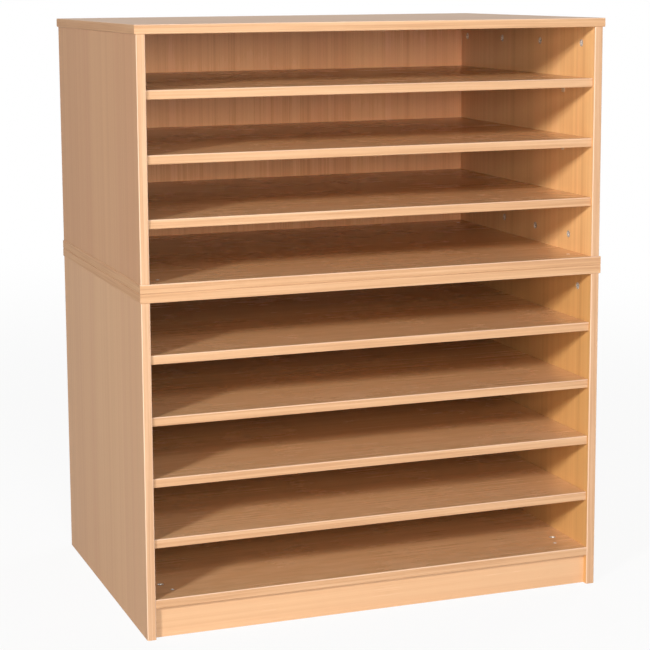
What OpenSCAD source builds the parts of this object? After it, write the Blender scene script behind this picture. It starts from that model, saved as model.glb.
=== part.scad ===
// Paper storage rack in two stacked units of beech-effect board.
// The origin is on the floor, in the middle of the plan. Front faces -Y.

/* [Carcass] */
// Width across the outer faces of the side panels
carcass_w = 976; // [800:1:1200]
// Depth of the side panels, with their front edging
side_d = 664; // [560:1:800]
// Thickness of every board
board_t = 18; // [16:0.5:22]
// Height of the lower unit's side panels
lower_side_h = 665; // [560:1:900]
// Height of the upper unit's side panels
upper_side_h = 470; // [380:1:700]
// How far the top stands out past each side panel
top_overhang = 3.5; // [0.5:0.5:20]
// How far the two boards at the joint stand out past each side panel
joint_overhang = 2; // [0.5:0.5:20]
// How far the top and the joint boards stand out past the side panels' front
front_overhang = 2.5; // [0.5:0.5:20]

/* [Plinth and setbacks] */
// Height of the plinth, from the floor to the bottom panel
plinth_h = 62; // [45:1:120]
// How far the plinth is set back from the side panels' front
plinth_setback = 13; // [3:1:60]
// How far the bottom panel is set back from the side panels' front
bottom_setback = 1; // [0:0.5:10]
// How far the loose shelves are set back from the side panels' front
shelf_setback = 6; // [1:0.5:40]
// How much lower the lowest bay is than the lower unit's other bays
lowest_bay_cut = 1.5; // [0:0.5:10]

/* [Edging] */
// Thickness of the edging strip
edging_t = 2; // [0.8:0.1:3]
// Radius along the edging's outer corners
edging_round = 2; // [0.4:0.1:3]
// Gap where two strips meet at a corner
strip_gap = 0.1; // [0.05:0.05:0.5]

/* [Fits] */
// Gap at each end of a loose shelf
shelf_end_gap = 0.8; // [0.4:0.1:2]
// Gap between a loose shelf and the back
shelf_rear_gap = 0.6; // [0.3:0.1:2]
// Radial gap between a fitting and its bore
bore_gap = 0.05; // [0.02:0.01:0.2]
// Free depth past the end of a fitting in a blind bore
bore_end_gap = 0.5; // [0.2:0.1:1]

/* [Shelf supports] */
// Distance of each support's middle from the shelf's front and rear edge
support_inset = 127; // [60:1:180]
// Width of a support, along the depth of the rack
support_w = 12; // [8:0.5:20]
// Thickness of the support's steel
support_t = 1.5; // [1:0.1:3]
// Reach of the ledge that the shelf lies on
support_reach = 16; // [10:0.5:24]
// Height of the leg that lies on the side panel
support_h = 17; // [12:0.5:24]
// Distance of the plug's axis below the shelf
plug_drop = 8; // [5:0.5:8.5]
// Diameter of the plug
plug_d = 5; // [4:0.5:7]
// Length of the plug in the side panel
plug_l = 9; // [6:0.5:12]

/* [Cam fittings] */
// Distance from a cam's axis to the edge that it draws up
cam_set = 34; // [24:1:40]
// Diameter of a cam's bore
cam_d = 15; // [12:1:18]
// How far a cam lies below the face of its board
cam_sink = 0.3; // [0.1:0.1:1]
// Height of a cam past the middle of the board
cam_tail = 4.3; // [4:0.1:5]
// Length of each arm of the cam's cross recess
cross_l = 8.4; // [5:0.2:10]
// Width of each arm of the cam's cross recess
cross_w = 1.8; // [1:0.1:2.4]
// Depth of the cam's cross recess
cross_depth = 2.4; // [1:0.1:3]
// Diameter of a cam bolt's head
bolt_head_d = 6.6; // [5:0.1:6.9]
// Diameter of a cam bolt's neck
bolt_neck_d = 4; // [3:0.1:4.8]
// Diameter of a cam bolt's shank
bolt_shank_d = 6; // [4.5:0.1:7]
// Diameter of a cam bolt's thread
bolt_thread_d = 5; // [4:0.5:6]
// Play of a bolt's head in its cam, across the diameter
pocket_play = 0.4; // [0.2:0.1:1]
// Diameter of the bore that a bolt's shank runs in
edge_bore_d = 8; // [7.5:0.5:9]
// Board left past the end of a bolt's thread
bolt_skin = 7; // [4:0.5:9]

/* [Cam places] */
// Distance of the first cam under a top board from the front
top_cam_front = 58; // [40:1:90]
// Distance of the last cam under a top board from the rear
top_cam_rear = 51; // [45:1:90]
// Distance of the end cams over the upper base from the front and the rear
base_cam_inset = 102.5; // [60:0.5:140]
// Distance of the end cams in the bottom panel from the front and the back
bottom_cam_inset = 91; // [60:1:140]
// Distance of the end cams in the backs from their top and bottom edges
back_cam_inset = 95; // [60:1:120]

/* [Dowels] */
// Diameter of a dowel
dowel_d = 8; // [6:1:10]
// Length of a dowel in the edge of a board
dowel_edge_l = 18; // [12:1:24]
// Board left past the end of a dowel in the face of a board
dowel_skin = 6; // [3:0.5:8]

/* [Screws] */
// Diameter of a screw's head
screw_head_d = 8; // [7:0.5:10]
// Diameter of a screw's thread
screw_d = 4; // [3:0.5:5]
// Board left past the tip of a screw that joins the two units
connector_skin = 6; // [3:0.5:8]
// Distance of the connector screws from the side panels' inner faces
connector_side = 28.5; // [20:0.5:60]
// Distance of the connector screws from the front and from the back
connector_inset = 49; // [30:1:90]
// Depth of a corner block's screw in the block
block_screw_l = 20; // [12:1:30]

/* [Corner blocks] */
// Length of a corner block along the plinth
block_l = 96; // [60:1:130]
// Width of a corner block along the side panel
block_w = 42; // [30:1:70]
// Height of a corner block
block_h = 40; // [30:1:45]

/* [Hidden] */
$fn = 48;
upper_shelves = 3;
lower_shelves = 4;
row_cams = 4;
bottom_cams = 3;
upper_back_cams_n = 2;
lower_back_cams_n = 3;
edge_dowels = 3;
cut = 1;
beech = "#D9AA74";
lipping = "#EEBB86";
bare_wood = "#E2C79B";
zinc = "#C9CBCD";
steel = "#B4B7BB";

// Planes of the rack
inner_w = carcass_w - 2 * board_t;
half_in = inner_w / 2;
overall_d = side_d + front_overhang;
y_lead = -overall_d / 2;
y_front = y_lead + front_overhang;
y_rear = y_front + side_d;
y_back = y_rear - board_t;
z_bottom = plinth_h;
z_bay_1 = z_bottom + board_t;
z_lower_top = lower_side_h;
z_joint = z_lower_top + board_t;
z_bay_2 = z_joint + board_t;
z_upper_top = z_bay_2 + upper_side_h;

// Clear bay heights, and each shelf's underside, with shelf 1 at the top
upper_bay = (upper_side_h - upper_shelves * board_t) / (upper_shelves + 1);
lower_bay = (z_lower_top - z_bay_1 - lower_shelves * board_t
    + lowest_bay_cut) / (lower_shelves + 1);
function shelf_z(n) = n <= upper_shelves
    ? z_upper_top - n * (upper_bay + board_t)
    : z_lower_top - (n - upper_shelves) * (lower_bay + board_t);
shelf_l = inner_w - 2 * shelf_end_gap;
y_shelf = y_front + shelf_setback;
y_shelf_end = y_back - shelf_rear_gap;

// Fittings
edge_r = min(edging_round, edging_t);
bolt_l = board_t - bolt_skin;
dowel_face_l = board_t - dowel_skin;
cam_h = board_t / 2 + cam_tail - cam_sink;
cam_r = cam_d / 2 - bore_gap;
pocket_d = bolt_head_d + pocket_play;
head_half = bolt_head_d / 2;
neck_end = cam_d / 2;
screw_cone = (screw_head_d - screw_d) / 2;
screw_slot = screw_d / 4;

// Evenly spaced places from a to b
function spread(a, b, n) = [for (i = [0:n - 1]) a + i * (b - a) / (n - 1)];
// The middle of each space between places
function between(p) = [for (i = [0:len(p) - 2]) (p[i] + p[i + 1]) / 2];

top_cam_y = spread(y_front + top_cam_front, y_rear - top_cam_rear, row_cams);
base_cam_y = spread(y_front + base_cam_inset, y_rear - base_cam_inset,
    row_cams);
bottom_cam_y = spread(y_front + bottom_cam_inset, y_back - bottom_cam_inset,
    bottom_cams);
upper_back_z = spread(z_bay_2 + back_cam_inset, z_upper_top - back_cam_inset,
    upper_back_cams_n);
lower_back_z = spread(z_bay_1 + back_cam_inset, z_lower_top - back_cam_inset,
    lower_back_cams_n);
back_dowel_x = spread(-inner_w / 3, inner_w / 3, edge_dowels);
y_back_mid = y_back + board_t / 2;
y_plinth = y_front + plinth_setback;
y_plinth_mid = y_plinth + board_t / 2;
x_side_mid = half_in + board_t / 2;
connector_x = half_in - connector_side;
connector_y = [y_front + connector_inset, y_back - connector_inset];
block_x = half_in - block_l / 2;
block_y = [y_plinth + board_t + block_w / 2, y_back - block_w / 2];

// Copies a piece onto both sides of the rack
module both_sides() {
  children();
  mirror([1, 0, 0]) children();
}

// Cam frames, drawn for the right side. In each one, z runs into the board
// from the face that shows the cam, and x runs to the board it draws up.
module at_side_head(y, z) {
  translate([half_in, y, z - cam_set])
    mirror([1, 0, 0])
      rotate([0, -90, 0])
        children();
}

module at_side_foot(y, z) {
  translate([half_in, y, z + cam_set])
    rotate([0, 90, 0])
      children();
}

module at_bottom(y) {
  translate([half_in - cam_set, y, z_bay_1])
    rotate([180, 0, 0])
      children();
}

module at_back(z) {
  translate([half_in - cam_set, y_rear, z])
    rotate([90, 0, 0])
      children();
}

// A rod along x, at the middle of the board's thickness
module rod(x0, x1, d) {
  translate([x0, 0, board_t / 2])
    rotate([0, 90, 0])
      cylinder(h = x1 - x0, d = d);
}

// Zinc cam with a cross recess and a pocket for the bolt's head
module cam() {
  difference() {
    translate([0, 0, cam_sink]) cylinder(h = cam_h, r = cam_r);
    rod(-head_half - 2 * bore_gap, cam_d, pocket_d);
    for (a = [45, 135])
      rotate([0, 0, a])
        translate([-cross_l / 2, -cross_w / 2, -cut])
          cube([cross_l, cross_w, cross_depth + cam_sink + cut]);
  }
}

// Steel bolt whose head sits in the cam and whose thread holds the next board
module bolt() {
  rod(-head_half, head_half, bolt_head_d);
  rod(head_half - cut, neck_end + cut, bolt_neck_d);
  rod(neck_end, cam_set, bolt_shank_d);
  rod(cam_set - cut, cam_set + bolt_l, bolt_thread_d - 2 * bore_gap);
}

// The bores of a cam and its bolt in the cam's own board
module cam_bores() {
  translate([0, 0, -cut])
    cylinder(h = cam_sink + cam_h + bore_gap + cut, d = cam_d);
  rod(0, cam_set + cut, edge_bore_d);
}

// The bore of a bolt's thread in the board that is drawn up
module thread_bore() {
  rod(cam_set - cut, cam_set + bolt_l + bore_end_gap, bolt_thread_d);
}

// Fluted dowels are drawn as plain rods: edge_l down, face_l up along z
module dowel() {
  translate([0, 0, -dowel_edge_l])
    cylinder(h = dowel_edge_l + dowel_face_l, d = dowel_d);
}

module dowel_bore() {
  translate([0, 0, -dowel_edge_l - bore_end_gap])
    cylinder(h = dowel_edge_l + dowel_face_l + 2 * bore_end_gap,
      d = dowel_d + 2 * bore_gap);
}

// Dowel places, drawn for the right side. The dowel's +z end is in a face.
module head_dowels(ys, z) {
  for (y = ys)
    translate([x_side_mid, y, z]) children();
}

module foot_dowels(ys, z) {
  for (y = ys)
    translate([x_side_mid, y, z]) rotate([180, 0, 0]) children();
}

module bottom_side_dowels() {
  for (y = between(bottom_cam_y))
    translate([half_in, y, z_bottom + board_t / 2])
      rotate([0, 90, 0])
        children();
}

module back_head_dowels(z) {
  for (x = back_dowel_x)
    translate([x, y_back_mid, z]) children();
}

module back_foot_dowels(z) {
  for (x = back_dowel_x)
    translate([x, y_back_mid, z]) rotate([180, 0, 0]) children();
}

module bottom_back_dowels() {
  for (x = back_dowel_x)
    translate([x, y_back, z_bottom + board_t / 2])
      rotate([-90, 0, 0])
        children();
}

module plinth_dowels() {
  for (x = back_dowel_x)
    translate([x, y_plinth_mid, z_bottom]) children();
}

// Countersunk screw with its head's face at z = 0, going down
module screw(length) {
  difference() {
    union() {
      translate([0, 0, -screw_cone])
        cylinder(h = screw_cone, d1 = screw_d, d2 = screw_head_d);
      translate([0, 0, -length])
        cylinder(h = length - screw_cone + bore_gap, d = screw_d);
    }
    for (a = [0, 90])
      rotate([0, 0, a])
        translate([-screw_d / 2, -screw_slot / 2, -screw_cone / 2])
          cube([screw_d, screw_slot, screw_cone]);
  }
}

module screw_bore(length) {
  translate([0, 0, -screw_cone])
    cylinder(h = screw_cone + bore_gap, d1 = screw_d + 2 * bore_gap,
      d2 = screw_head_d + 4 * bore_gap);
  translate([0, 0, -length - bore_end_gap])
    cylinder(h = length + bore_end_gap, d = screw_d + 2 * bore_gap);
}

module at_connectors() {
  for (y = connector_y)
    translate([connector_x, y, z_bay_2]) children();
}

module at_blocks(z) {
  for (y = block_y)
    translate([block_x, y, z]) children();
}

connector_l = 2 * board_t - connector_skin;
block_screw_len = board_t + block_screw_l;

// Section of an edging strip: x runs in from its outer face
module strip_section() {
  intersection() {
    square([edging_t, board_t]);
    union() {
      translate([edge_r, 0]) square([edging_t, board_t]);
      translate([0, edge_r]) square([edging_t, board_t - 2 * edge_r]);
      translate([edge_r, edge_r]) circle(edge_r);
      translate([edge_r, board_t - edge_r]) circle(edge_r);
    }
  }
}

// Strip across the rack, with its outer face at y
module cross_strip(length, y, z) {
  color(lipping)
    translate([-length / 2, y, z])
      rotate([90, 0, 90])
        linear_extrude(height = length)
          strip_section();
}

// Strip up the front of the right side panel
module upright_strip(z, h) {
  color(lipping)
    translate([half_in + board_t, y_front, z])
      rotate([0, 0, 90])
        linear_extrude(height = h)
          strip_section();
}

// Strip along the right-hand end of a top or joint board
module end_strip(width, z) {
  color(lipping)
    translate([width / 2, y_rear, z])
      mirror([1, 0, 0])
        rotate([90, 0, 0])
          linear_extrude(height = y_rear - y_lead - edging_t - strip_gap)
            strip_section();
}

// Edging on the front and both ends of a top or joint board
module cap_edging(width, z) {
  cross_strip(width, y_lead, z);
  both_sides() end_strip(width, z);
}

// Board inside that edging
module cap_core(width, z) {
  translate([-width / 2 + edging_t, y_lead + edging_t, z])
    cube([width - 2 * edging_t, y_rear - y_lead - edging_t, board_t]);
}

// Blank of the right side panel, behind its edging
module side_core(z, h) {
  translate([half_in, y_front + edging_t, z])
    cube([board_t, side_d - edging_t, h]);
}

// Blank of a board between the sides, from y0 to y1
module cross_core(y0, y1, z, h) {
  translate([-half_in, y0, z])
    cube([inner_w, y1 - y0, h]);
}

top_w = carcass_w + 2 * top_overhang;
joint_w = carcass_w + 2 * joint_overhang;

// Upper unit
module upper_top() {
  color(beech)
    difference() {
      cap_core(top_w, z_upper_top);
      both_sides() {
        for (y = top_cam_y) at_side_head(y, z_upper_top) thread_bore();
        head_dowels(between(top_cam_y), z_upper_top) dowel_bore();
      }
      back_head_dowels(z_upper_top) dowel_bore();
    }
}

module upper_top_edging() {
  cap_edging(top_w, z_upper_top);
}

module upper_base() {
  color(beech)
    difference() {
      cap_core(joint_w, z_joint);
      both_sides() {
        for (y = base_cam_y) at_side_foot(y, z_bay_2) thread_bore();
        foot_dowels(between(base_cam_y), z_bay_2) dowel_bore();
        at_connectors() screw_bore(connector_l);
      }
      back_foot_dowels(z_bay_2) dowel_bore();
    }
}

module upper_base_edging() {
  cap_edging(joint_w, z_joint);
}

module upper_side() {
  color(beech)
    difference() {
      side_core(z_bay_2, upper_side_h);
      for (y = top_cam_y) at_side_head(y, z_upper_top) cam_bores();
      for (y = base_cam_y) at_side_foot(y, z_bay_2) cam_bores();
      for (z = upper_back_z) at_back(z) thread_bore();
      head_dowels(between(top_cam_y), z_upper_top) dowel_bore();
      foot_dowels(between(base_cam_y), z_bay_2) dowel_bore();
      for (n = [1:upper_shelves]) at_supports(n) plug_bore();
    }
}

module upper_left_side() {
  mirror([1, 0, 0]) upper_side();
}

module upper_right_side() {
  upper_side();
}

module upper_left_side_edging() {
  mirror([1, 0, 0]) upright_strip(z_bay_2, upper_side_h);
}

module upper_right_side_edging() {
  upright_strip(z_bay_2, upper_side_h);
}

module upper_back() {
  color(beech)
    difference() {
      cross_core(y_back, y_rear, z_bay_2, upper_side_h);
      both_sides()
        for (z = upper_back_z) at_back(z) cam_bores();
      back_head_dowels(z_upper_top) dowel_bore();
      back_foot_dowels(z_bay_2) dowel_bore();
    }
}

// Loose shelves
module shelf(n) {
  color(beech)
    translate([-shelf_l / 2, y_shelf + edging_t, shelf_z(n)])
      cube([shelf_l, y_shelf_end - y_shelf - edging_t, board_t]);
}

module shelf_edging(n) {
  cross_strip(shelf_l, y_shelf, shelf_z(n));
}

// Support places for the right side, on the wall at the shelf's underside
module at_supports(n) {
  for (y = [y_shelf + support_inset, y_shelf_end - support_inset])
    translate([half_in, y, shelf_z(n)]) children();
}

// L-shaped steel support with a plug
module support() {
  translate([-support_reach, -support_w / 2, -support_t])
    cube([support_reach, support_w, support_t]);
  translate([-support_t, -support_w / 2, -support_h])
    cube([support_t, support_w, support_h]);
  translate([-support_t / 2, 0, -plug_drop])
    rotate([0, 90, 0])
      cylinder(h = support_t / 2 + plug_l, d = plug_d - 2 * bore_gap);
}

module plug_bore() {
  translate([-cut, 0, -plug_drop])
    rotate([0, 90, 0])
      cylinder(h = plug_l + bore_end_gap + cut, d = plug_d);
}

module shelf_supports(n) {
  color(steel)
    both_sides() at_supports(n) support();
}

// Lower unit
module lower_top() {
  color(beech)
    difference() {
      cap_core(joint_w, z_lower_top);
      both_sides() {
        for (y = top_cam_y) at_side_head(y, z_lower_top) thread_bore();
        head_dowels(between(top_cam_y), z_lower_top) dowel_bore();
        at_connectors() screw_bore(connector_l);
      }
      back_head_dowels(z_lower_top) dowel_bore();
    }
}

module lower_top_edging() {
  cap_edging(joint_w, z_lower_top);
}

module lower_side() {
  color(beech)
    difference() {
      side_core(0, lower_side_h);
      for (y = top_cam_y) at_side_head(y, z_lower_top) cam_bores();
      for (y = bottom_cam_y) at_bottom(y) thread_bore();
      for (z = lower_back_z) at_back(z) thread_bore();
      head_dowels(between(top_cam_y), z_lower_top) dowel_bore();
      bottom_side_dowels() dowel_bore();
      for (n = [1:lower_shelves])
        at_supports(upper_shelves + n) plug_bore();
    }
}

module lower_left_side() {
  mirror([1, 0, 0]) lower_side();
}

module lower_right_side() {
  lower_side();
}

module lower_left_side_edging() {
  mirror([1, 0, 0]) upright_strip(0, lower_side_h);
}

module lower_right_side_edging() {
  upright_strip(0, lower_side_h);
}

module lower_back() {
  color(beech)
    difference() {
      cross_core(y_back, y_rear, 0, lower_side_h);
      both_sides()
        for (z = lower_back_z) at_back(z) cam_bores();
      back_head_dowels(z_lower_top) dowel_bore();
      bottom_back_dowels() dowel_bore();
    }
}

module bottom_panel() {
  color(beech)
    difference() {
      cross_core(y_front + bottom_setback + edging_t, y_back, z_bottom,
        board_t);
      both_sides() {
        for (y = bottom_cam_y) at_bottom(y) cam_bores();
        bottom_side_dowels() dowel_bore();
        at_blocks(z_bay_1) screw_bore(block_screw_len);
      }
      bottom_back_dowels() dowel_bore();
      plinth_dowels() dowel_bore();
    }
}

module bottom_panel_edging() {
  cross_strip(inner_w, y_front + bottom_setback, z_bottom);
}

module plinth() {
  color(beech)
    difference() {
      cross_core(y_plinth, y_plinth + board_t, 0, plinth_h);
      plinth_dowels() dowel_bore();
    }
}

module corner_blocks() {
  color(bare_wood)
    both_sides()
      difference() {
        at_blocks(z_bottom - block_h)
          translate([-block_l / 2, -block_w / 2, 0])
            cube([block_l, block_w, block_h]);
        at_blocks(z_bay_1) screw_bore(block_screw_len);
      }
}

// Fittings
module upper_top_cams() {
  color(zinc)
    both_sides()
      for (y = top_cam_y) at_side_head(y, z_upper_top) cam();
}

module upper_top_bolts() {
  color(steel)
    both_sides()
      for (y = top_cam_y) at_side_head(y, z_upper_top) bolt();
}

module upper_base_cams() {
  color(zinc)
    both_sides()
      for (y = base_cam_y) at_side_foot(y, z_bay_2) cam();
}

module upper_base_bolts() {
  color(steel)
    both_sides()
      for (y = base_cam_y) at_side_foot(y, z_bay_2) bolt();
}

module upper_back_cams() {
  color(zinc)
    both_sides()
      for (z = upper_back_z) at_back(z) cam();
}

module upper_back_bolts() {
  color(steel)
    both_sides()
      for (z = upper_back_z) at_back(z) bolt();
}

module lower_top_cams() {
  color(zinc)
    both_sides()
      for (y = top_cam_y) at_side_head(y, z_lower_top) cam();
}

module lower_top_bolts() {
  color(steel)
    both_sides()
      for (y = top_cam_y) at_side_head(y, z_lower_top) bolt();
}

module bottom_panel_cams() {
  color(zinc)
    both_sides()
      for (y = bottom_cam_y) at_bottom(y) cam();
}

module bottom_panel_bolts() {
  color(steel)
    both_sides()
      for (y = bottom_cam_y) at_bottom(y) bolt();
}

module lower_back_cams() {
  color(zinc)
    both_sides()
      for (z = lower_back_z) at_back(z) cam();
}

module lower_back_bolts() {
  color(steel)
    both_sides()
      for (z = lower_back_z) at_back(z) bolt();
}

module upper_dowels() {
  color(bare_wood) {
    both_sides() {
      head_dowels(between(top_cam_y), z_upper_top) dowel();
      foot_dowels(between(base_cam_y), z_bay_2) dowel();
    }
    back_head_dowels(z_upper_top) dowel();
    back_foot_dowels(z_bay_2) dowel();
  }
}

module lower_dowels() {
  color(bare_wood) {
    both_sides() {
      head_dowels(between(top_cam_y), z_lower_top) dowel();
      bottom_side_dowels() dowel();
    }
    back_head_dowels(z_lower_top) dowel();
    bottom_back_dowels() dowel();
    plinth_dowels() dowel();
  }
}

module connector_screws() {
  color(steel)
    both_sides() at_connectors() screw(connector_l);
}

module corner_block_screws() {
  color(steel)
    both_sides() at_blocks(z_bay_1) screw(block_screw_len);
}

upper_top();
upper_top_edging();
upper_base();
upper_base_edging();
upper_left_side();
upper_right_side();
upper_left_side_edging();
upper_right_side_edging();
upper_back();
shelf(1);  // shelf_1
shelf(2);  // shelf_2
shelf(3);  // shelf_3
shelf_edging(1);  // shelf_1_edging
shelf_edging(2);  // shelf_2_edging
shelf_edging(3);  // shelf_3_edging
shelf_supports(1);  // shelf_1_supports
shelf_supports(2);  // shelf_2_supports
shelf_supports(3);  // shelf_3_supports
lower_top();
lower_top_edging();
lower_left_side();
lower_right_side();
lower_left_side_edging();
lower_right_side_edging();
lower_back();
shelf(4);  // shelf_4
shelf(5);  // shelf_5
shelf(6);  // shelf_6
shelf(7);  // shelf_7
shelf_edging(4);  // shelf_4_edging
shelf_edging(5);  // shelf_5_edging
shelf_edging(6);  // shelf_6_edging
shelf_edging(7);  // shelf_7_edging
shelf_supports(4);  // shelf_4_supports
shelf_supports(5);  // shelf_5_supports
shelf_supports(6);  // shelf_6_supports
shelf_supports(7);  // shelf_7_supports
bottom_panel();
bottom_panel_edging();
plinth();
corner_blocks();
upper_top_cams();
upper_top_bolts();
upper_base_cams();
upper_base_bolts();
upper_back_cams();
upper_back_bolts();
lower_top_cams();
lower_top_bolts();
bottom_panel_cams();
bottom_panel_bolts();
lower_back_cams();
lower_back_bolts();
upper_dowels();
lower_dowels();
connector_screws();
corner_block_screws();
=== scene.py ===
"""Looks of a paper storage rack: two stacked units in beech-effect board.

The boards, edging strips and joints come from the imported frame. This script
dresses them, makes the small fittings in full detail and sets up the studio.
Lengths are in metres, and the front of the rack faces -y.
"""
import logging
import math
from dataclasses import dataclass
from enum import Enum
from typing import Dict, Iterable, List, Optional, Sequence, Tuple, Union

import bmesh
import bpy
from mathutils import Matrix, Vector


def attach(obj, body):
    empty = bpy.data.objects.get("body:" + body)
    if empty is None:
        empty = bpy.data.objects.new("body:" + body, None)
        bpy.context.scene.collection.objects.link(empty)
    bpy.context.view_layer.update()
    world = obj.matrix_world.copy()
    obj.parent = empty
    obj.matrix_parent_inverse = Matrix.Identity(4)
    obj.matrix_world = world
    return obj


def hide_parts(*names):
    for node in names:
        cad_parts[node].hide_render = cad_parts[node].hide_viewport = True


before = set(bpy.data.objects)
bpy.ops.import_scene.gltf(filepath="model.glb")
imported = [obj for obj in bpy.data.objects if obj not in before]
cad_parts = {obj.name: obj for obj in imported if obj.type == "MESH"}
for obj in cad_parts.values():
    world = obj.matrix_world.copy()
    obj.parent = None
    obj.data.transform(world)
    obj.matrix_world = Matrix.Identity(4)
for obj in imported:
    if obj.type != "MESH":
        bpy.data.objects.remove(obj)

log = logging.getLogger("paper_rack")

Colour = Tuple[float, float, float, float]
Pair = Tuple[float, float]
Point = Tuple[float, float, float]
Mesh = bpy.types.Mesh
Material = bpy.types.Material
Socket = bpy.types.NodeSocket
Feed = Union[Socket, float, Sequence[float]]

MM = 0.001
WELD = 0.01 * MM
SHARP_EDGE = math.radians(32)
QUARTER = math.pi / 2
SHELVES = 7
WHITE: Colour = (1.0, 1.0, 1.0, 1.0)
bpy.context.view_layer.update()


def paint(red: int, green: int, blue: int) -> Colour:
    """Turns a screen colour into a linear one.

    Args:
        red: Red, from 0 to 255.
        green: Green, from 0 to 255.
        blue: Blue, from 0 to 255.

    Returns:
        The linear colour, with full alpha.
    """
    def linear(level: int) -> float:
        """Returns one linear channel."""
        share = level / 255
        return share / 12.92 if share <= 0.04045 else ((share + 0.055) / 1.055) ** 2.4

    return linear(red), linear(green), linear(blue), 1.0


class Axis(Enum):
    """A direction of the rack."""

    ACROSS = 0
    DEEP = 1
    UP = 2

    def stretch(self, repeats: Pair) -> Point:
        """Scales a pattern to run along this axis.

        Args:
            repeats: Repeats per metre across the pattern's run and along it.

        Returns:
            The scale on x, y and z.
        """
        scale = [repeats[0]] * 3
        scale[self.value] = repeats[1]
        return scale[0], scale[1], scale[2]

    def way(self, length: float = 1.0) -> Vector:
        """Makes a vector along this axis.

        Args:
            length: Its length, below 0 to point the other way.

        Returns:
            The vector.
        """
        vector = Vector((0, 0, 0))
        vector[self.value] = length
        return vector


class Recipe:
    """Node tree of a material or of the room, with a short call for each kind of node."""

    facing_limit: float = 0.7

    def __init__(self, owner: Union[Material, bpy.types.World],
                 shader: str = "Principled BSDF") -> None:
        """Starts from the shader that the material or room has.

        Args:
            owner: The material or room.
            shader: Name of its shader's node.
        """
        owner.use_nodes = True
        self.tree = owner.node_tree
        self.shader = self.tree.nodes[shader]
        spot = self.tree.nodes.new("ShaderNodeTexCoord")
        self.place: Socket = spot.outputs["Object"]
        self.facing: Socket = spot.outputs["Normal"]

    def node(self, kind: str, inputs: dict, outlet: Union[int, str] = 0,
             **choices: object) -> Socket:
        """Adds a node.

        Args:
            kind: Blender's name of the node's type.
            inputs: Values or sockets for its inputs, by name or place.
            outlet: Output that is wanted.
            **choices: Settings of the node itself.

        Returns:
            The wanted output.
        """
        made = self.tree.nodes.new(kind)
        for name, choice in choices.items():
            setattr(made, name, choice)
        for key, value in inputs.items():
            self.feed(made.inputs[key], value)
        return made.outputs[outlet]

    def feed(self, socket: Socket, value: Feed) -> None:
        """Sets an input to a value, or links it to an output.

        Args:
            socket: The input.
            value: The value or output.
        """
        if isinstance(value, Socket):
            self.tree.links.new(value, socket)
        else:
            socket.default_value = value

    def give(self, name: str, value: Feed) -> None:
        """Feeds an input of the shader."""
        self.feed(self.shader.inputs[name], value)

    def noise(self, place: Socket, scale: Sequence[float], detail: float = 2.0,
              rough: float = 0.5, outlet: int = 0) -> Socket:
        """Adds stretched noise.

        Args:
            place: Coordinates.
            scale: Repeats per metre on x, y and z.
            detail: Octaves.
            rough: Share that each octave keeps of the one before.
            outlet: 0 for the level, 1 for the colour.

        Returns:
            The noise's level or colour.
        """
        spot = self.node("ShaderNodeVectorMath", {0: place, 1: scale}, operation="MULTIPLY")
        return self.node("ShaderNodeTexNoise", {"Vector": spot, "Scale": 1.0, "Detail": detail,
                                                "Roughness": rough}, outlet)

    def specks(self, repeats: float, detail: float = 2.0, rough: float = 0.5) -> Socket:
        """Adds noise of the same scale every way, in repeats per metre."""
        return self.noise(self.place, [repeats] * 3, detail, rough)

    def sum(self, *shares: Tuple[Socket, float]) -> Socket:
        """Adds levels up, each times its share.

        Args:
            *shares: Each level with its share.

        Returns:
            The total.
        """
        total: Feed = 0.0
        for level, share in shares:
            total = self.node("ShaderNodeMath", {0: level, 1: share, 2: total},
                              operation="MULTIPLY_ADD")
        return total

    def combine(self, operation: str, first: Feed, second: Feed = 0.0) -> Socket:
        """Joins two numbers in a way that Blender names, such as ADD."""
        return self.node("ShaderNodeMath", {0: first, 1: second}, operation=operation)

    def shared(self, first: Socket, second: Socket, share: float) -> Socket:
        """Joins two levels, of which the first has that share."""
        return self.sum((first, share), (second, 1 - share))

    def span(self, level: Socket, low: float, high: float, start: float = 0.0,
             end: float = 1.0) -> Socket:
        """Spreads the stretch from low to high smoothly over start to end."""
        return self.node("ShaderNodeMapRange", {0: level, 1: low, 2: high, 3: start, 4: end},
                         interpolation_type="SMOOTHSTEP")

    def ramp(self, level: Socket, places: Sequence[float], *colours: Colour) -> Socket:
        """Colours a level.

        Args:
            level: Level from 0 to 1.
            places: Level of each colour, in rising order.
            *colours: The colours.

        Returns:
            The colour.
        """
        made = self.tree.nodes.new("ShaderNodeValToRGB")
        bar = made.color_ramp.elements
        while len(bar) < len(colours):
            bar.new(0.5)
        for element, position, colour in zip(bar, places, colours):
            element.position = position
            element.color = colour
        self.feed(made.inputs[0], level)
        return made.outputs[0]

    def blend(self, share: Feed, first: Feed, second: Feed, kind: str = "MIX") -> Socket:
        """Mixes two colours.

        Args:
            share: Share of the second one.
            first: First colour.
            second: Second colour.
            kind: Blender's name of the blend.

        Returns:
            The mixed colour.
        """
        # The colour sockets of this node are inputs 6 and 7 and output 2.
        return self.node("ShaderNodeMix", {0: share, 6: first, 7: second}, 2,
                         data_type="RGBA", blend_type=kind)

    def part(self, vector: Socket, axis: Axis) -> Socket:
        """Returns a vector's part along one axis."""
        return self.node("ShaderNodeSeparateXYZ", {0: vector}, axis.value)

    def facing_share(self, axis: Axis, both_ways: bool = True) -> Socket:
        """Tells the faces that look along an axis from the others.

        Args:
            axis: The axis.
            both_ways: Whether faces that look against the axis count too.

        Returns:
            1 on these faces and 0 on the others.
        """
        size = self.part(self.facing, axis)
        if both_ways:
            size = self.combine("ABSOLUTE", size)
        return self.combine("GREATER_THAN", size, self.facing_limit)

    def relief(self, height: Socket, depth: float) -> None:
        """Gives the surface relief of that depth, in metres."""
        self.give("Normal", self.node("ShaderNodeBump", {"Height": height, "Distance": depth}))


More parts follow.
